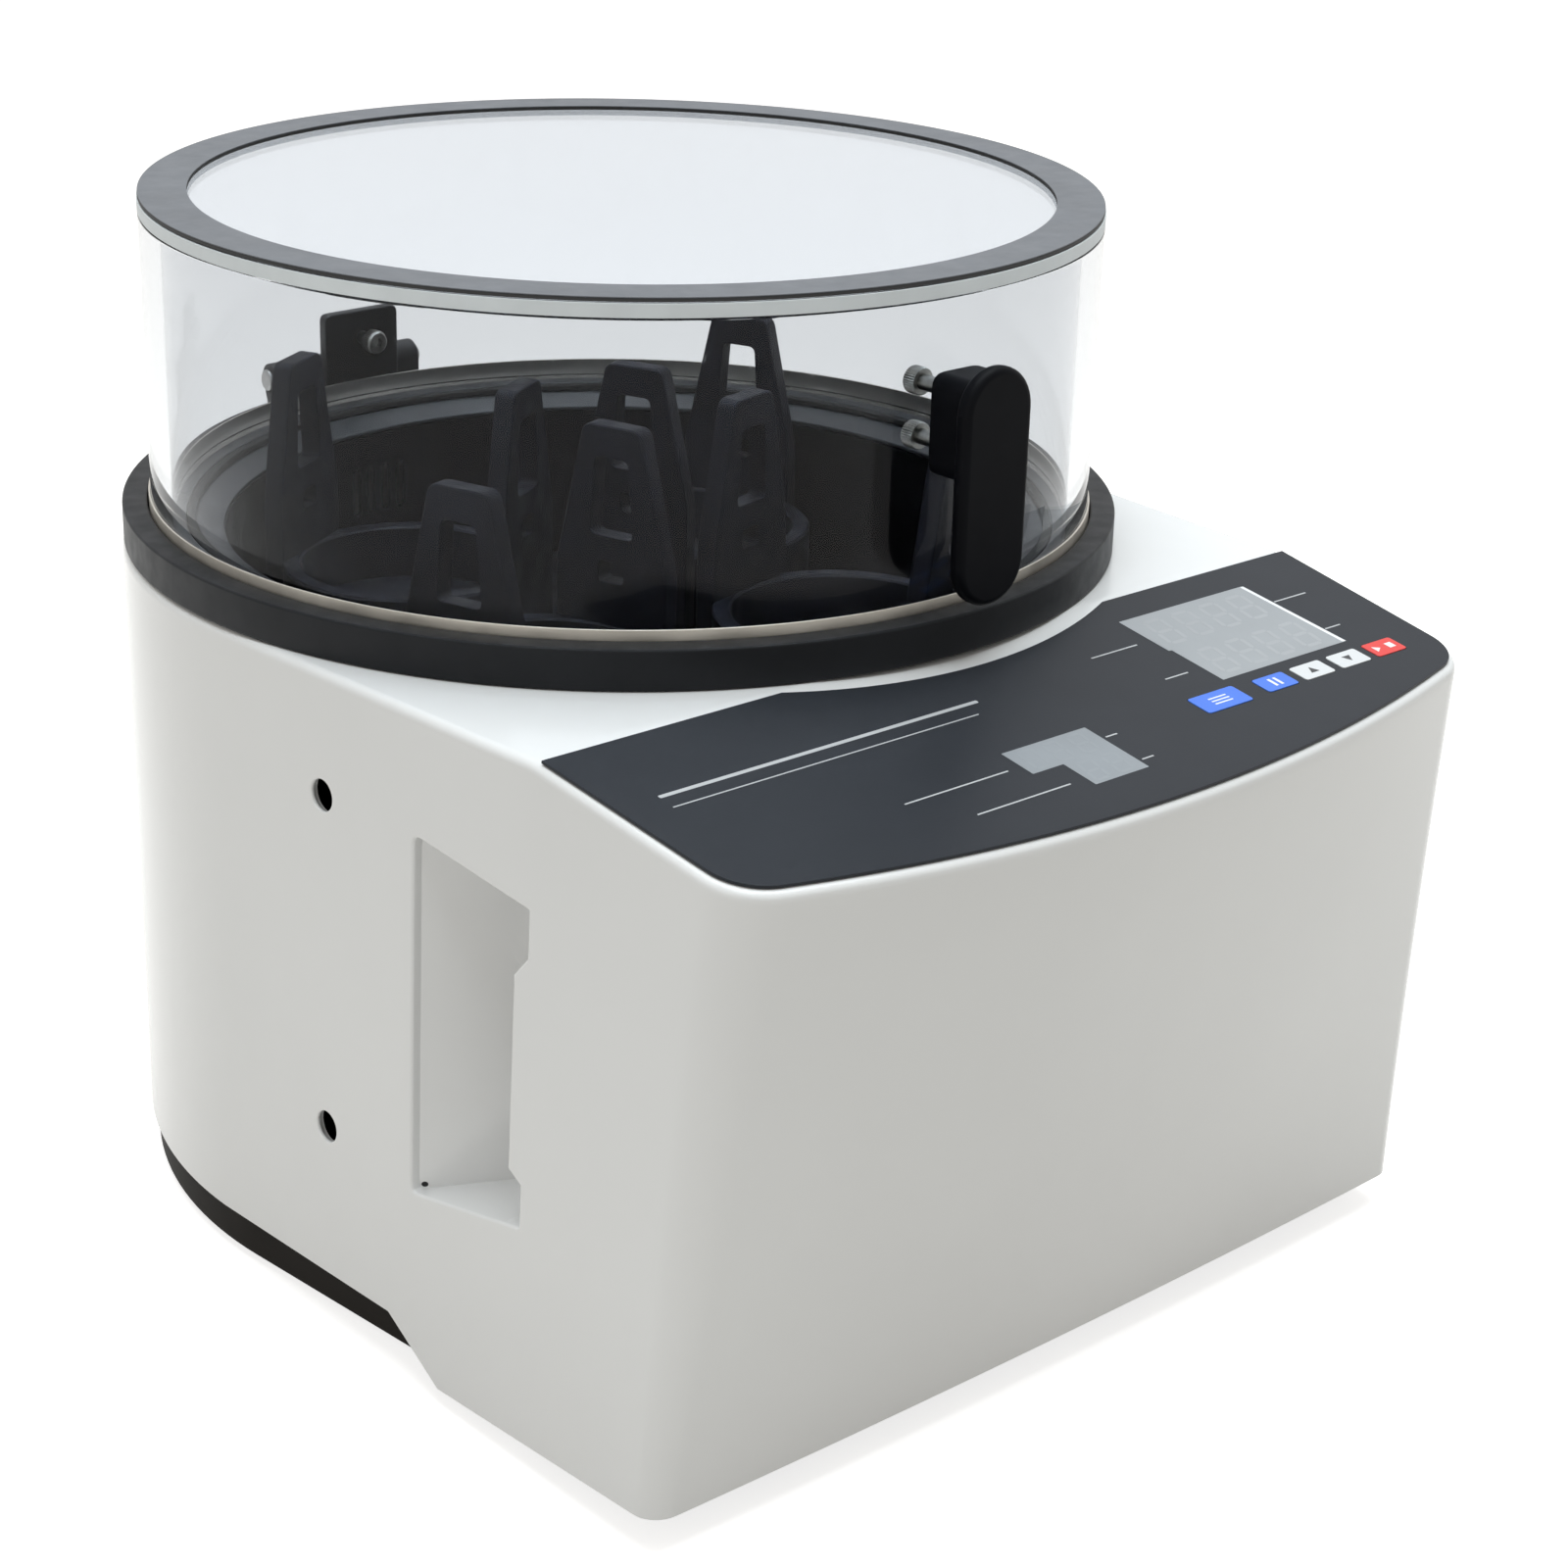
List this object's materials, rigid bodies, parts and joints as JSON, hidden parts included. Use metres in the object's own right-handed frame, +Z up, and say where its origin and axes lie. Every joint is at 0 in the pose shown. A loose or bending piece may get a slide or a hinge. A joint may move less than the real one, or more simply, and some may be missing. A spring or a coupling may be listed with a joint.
{
  "type": "planetary ball mill",
  "caption": "Bench planetary ball mill: round-backed casing with a sloping control panel, and a clear hinged lid over a geared sun wheel with windowed jar holders.",
  "frame": {"origin": "middle of the outer box's underside, on the plane that the feet stand on", "axes": "+Z up; +Y from the control panel at the front to the lid's hinge at the rear; +X to the machine's right side, where the keys are"},
  "size_m": [0.3424, 0.4506, 0.3453],
  "materials": {
    "casing_white": "gloss white paint",
    "base_black": "satin black paint",
    "foot_rubber": "matt black rubber",
    "frame_steel": "machined steel",
    "collar_black": "satin black paint",
    "rim_metal": "turned aluminium",
    "seal_rubber": "matt black rubber",
    "chamber_dark": "satin dark grey coating",
    "clear_lid": "clear acrylic, lightly scratched",
    "lid_ring_grey": "satin dark grey",
    "handle_black": "satin black",
    "screw_steel": "bright steel",
    "hinge_black": "satin black paint",
    "gear_steel": "cut steel",
    "wheel_dark": "dark machined face",
    "holder_dark": "satin dark grey coating",
    "belt_rubber": "matt black rubber",
    "motor_black": "satin black paint",
    "panel_grey": "satin printed film",
    "display_grey": "pale grey window",
    "key_blue": "satin blue",
    "key_white": "satin white",
    "key_red": "satin red",
    "board_green": "green circuit board",
    "inlet_black": "moulded black",
    "switch_red": "gloss red"
  },
  "bodies": {
    "casing": {"body_shell": "casing_white", "base_tray": "base_black", "rear_left_foot": "foot_rubber", "rear_right_foot": "foot_rubber", "front_left_foot": "foot_rubber", "front_right_foot": "foot_rubber", "frame_plate": "frame_steel", "rear_left_post": "frame_steel", "rear_right_post": "frame_steel", "front_left_post": "frame_steel", "front_right_post": "frame_steel", "collar_ring": "collar_black", "chamber_rim": "rim_metal", "lid_seal": "seal_rubber", "chamber_bowl": "chamber_dark", "hinge_bracket": "hinge_black", "hinge_pin": "screw_steel", "bearing_housing": "frame_steel", "upper_bearing": "screw_steel", "lower_bearing": "screw_steel", "fixed_sun_gear": "gear_steel", "motor": "motor_black", "drive_belt": "belt_rubber", "panel_overlay": "panel_grey", "speed_display": "display_grey", "time_display": "display_grey", "temperature_display": "display_grey", "control_board": "board_green", "power_inlet": "inlet_black"},
    "lid": {"lid_wall": "clear_lid", "lid_top": "clear_lid", "lid_ring": "lid_ring_grey", "lid_handle": "handle_black", "upper_handle_screw": "screw_steel", "lower_handle_screw": "screw_steel", "hinge_bolt": "screw_steel", "hinge_leaf": "hinge_black"},
    "sun_wheel": {"sun_wheel": "wheel_dark", "main_shaft": "gear_steel", "main_pulley": "wheel_dark"},
    "idler_1": {"idler_gear_1": "gear_steel"},
    "idler_2": {"idler_gear_2": "gear_steel"},
    "idler_3": {"idler_gear_3": "gear_steel"},
    "idler_4": {"idler_gear_4": "gear_steel"},
    "station_1": {"planet_gear_1": "gear_steel", "jar_holder_1": "holder_dark"},
    "station_2": {"planet_gear_2": "gear_steel", "jar_holder_2": "holder_dark"},
    "station_3": {"planet_gear_3": "gear_steel", "jar_holder_3": "holder_dark"},
    "station_4": {"planet_gear_4": "gear_steel", "jar_holder_4": "holder_dark"},
    "motor_pulley": {"motor_pulley": "wheel_dark"},
    "menu_key": {"menu_key": "key_blue"},
    "pause_key": {"pause_key": "key_blue"},
    "up_key": {"up_key": "key_white"},
    "down_key": {"down_key": "key_white"},
    "run_key": {"run_key": "key_red"},
    "power_switch": {"power_switch": "switch_red"}
  },
  "joints": [
    {"name": "lid_hinge", "type": "hinge", "parent": "casing", "child": "lid", "pos_m": [0, 0.21925, 0.2455], "axis": [-1, 0, 0], "range_deg": [0, 95]},
    {"name": "sun_wheel_turn", "type": "hinge", "parent": "casing", "child": "sun_wheel", "pos_m": [0, 0.04225, 0.17], "axis": [0, 0, 1], "continuous": true},
    {"name": "idler_turn_1", "type": "hinge", "parent": "sun_wheel", "child": "idler_1", "pos_m": [-0.02573, 0.08218, 0.161], "axis": [0, 0, 1], "continuous": true},
    {"name": "idler_turn_2", "type": "hinge", "parent": "sun_wheel", "child": "idler_2", "pos_m": [-0.03993, 0.01652, 0.161], "axis": [0, 0, 1], "continuous": true},
    {"name": "idler_turn_3", "type": "hinge", "parent": "sun_wheel", "child": "idler_3", "pos_m": [0.02573, 0.00232, 0.161], "axis": [0, 0, 1], "continuous": true},
    {"name": "idler_turn_4", "type": "hinge", "parent": "sun_wheel", "child": "idler_4", "pos_m": [0.03993, 0.06798, 0.161], "axis": [0, 0, 1], "continuous": true},
    {"name": "station_turn_1", "type": "hinge", "parent": "sun_wheel", "child": "station_1", "pos_m": [-0.04334, 0.1095, 0.17], "axis": [0, 0, 1], "continuous": true},
    {"name": "station_turn_2", "type": "hinge", "parent": "sun_wheel", "child": "station_2", "pos_m": [-0.06725, -0.00109, 0.17], "axis": [0, 0, 1], "continuous": true},
    {"name": "station_turn_3", "type": "hinge", "parent": "sun_wheel", "child": "station_3", "pos_m": [0.04334, -0.025, 0.17], "axis": [0, 0, 1], "continuous": true},
    {"name": "station_turn_4", "type": "hinge", "parent": "sun_wheel", "child": "station_4", "pos_m": [0.06725, 0.08559, 0.17], "axis": [0, 0, 1], "continuous": true},
    {"name": "motor_turn", "type": "hinge", "parent": "casing", "child": "motor_pulley", "pos_m": [0, -0.14875, 0.062], "axis": [0, 0, 1], "continuous": true},
    {"name": "menu_press", "type": "slide", "parent": "casing", "child": "menu_key", "axis": [0, 0.1564, -0.9877], "range_m": [0, 0.0008], "stiffness_N_per_m": 1500},
    {"name": "pause_press", "type": "slide", "parent": "casing", "child": "pause_key", "axis": [0, 0.1564, -0.9877], "range_m": [0, 0.0008], "stiffness_N_per_m": 1500},
    {"name": "up_press", "type": "slide", "parent": "casing", "child": "up_key", "axis": [0, 0.1564, -0.9877], "range_m": [0, 0.0008], "stiffness_N_per_m": 1500},
    {"name": "down_press", "type": "slide", "parent": "casing", "child": "down_key", "axis": [0, 0.1564, -0.9877], "range_m": [0, 0.0008], "stiffness_N_per_m": 1500},
    {"name": "run_press", "type": "slide", "parent": "casing", "child": "run_key", "axis": [0, 0.1564, -0.9877], "range_m": [0, 0.0008], "stiffness_N_per_m": 1500},
    {"name": "power_rocker", "type": "hinge", "parent": "casing", "child": "power_switch", "pos_m": [0, 0.21225, 0.076], "axis": [1, 0, 0], "range_deg": [0, 12]}
  ],
  "couplings": [
    {"joint": "idler_turn_1", "follows": "sun_wheel_turn", "ratio": 1.7143},
    {"joint": "idler_turn_2", "follows": "sun_wheel_turn", "ratio": 1.7143},
    {"joint": "idler_turn_3", "follows": "sun_wheel_turn", "ratio": 1.7143},
    {"joint": "idler_turn_4", "follows": "sun_wheel_turn", "ratio": 1.7143},
    {"joint": "station_turn_1", "follows": "sun_wheel_turn", "ratio": -2},
    {"joint": "station_turn_2", "follows": "sun_wheel_turn", "ratio": -2},
    {"joint": "station_turn_3", "follows": "sun_wheel_turn", "ratio": -2},
    {"joint": "station_turn_4", "follows": "sun_wheel_turn", "ratio": -2},
    {"joint": "motor_turn", "follows": "sun_wheel_turn", "ratio": 2.4}
  ]
}
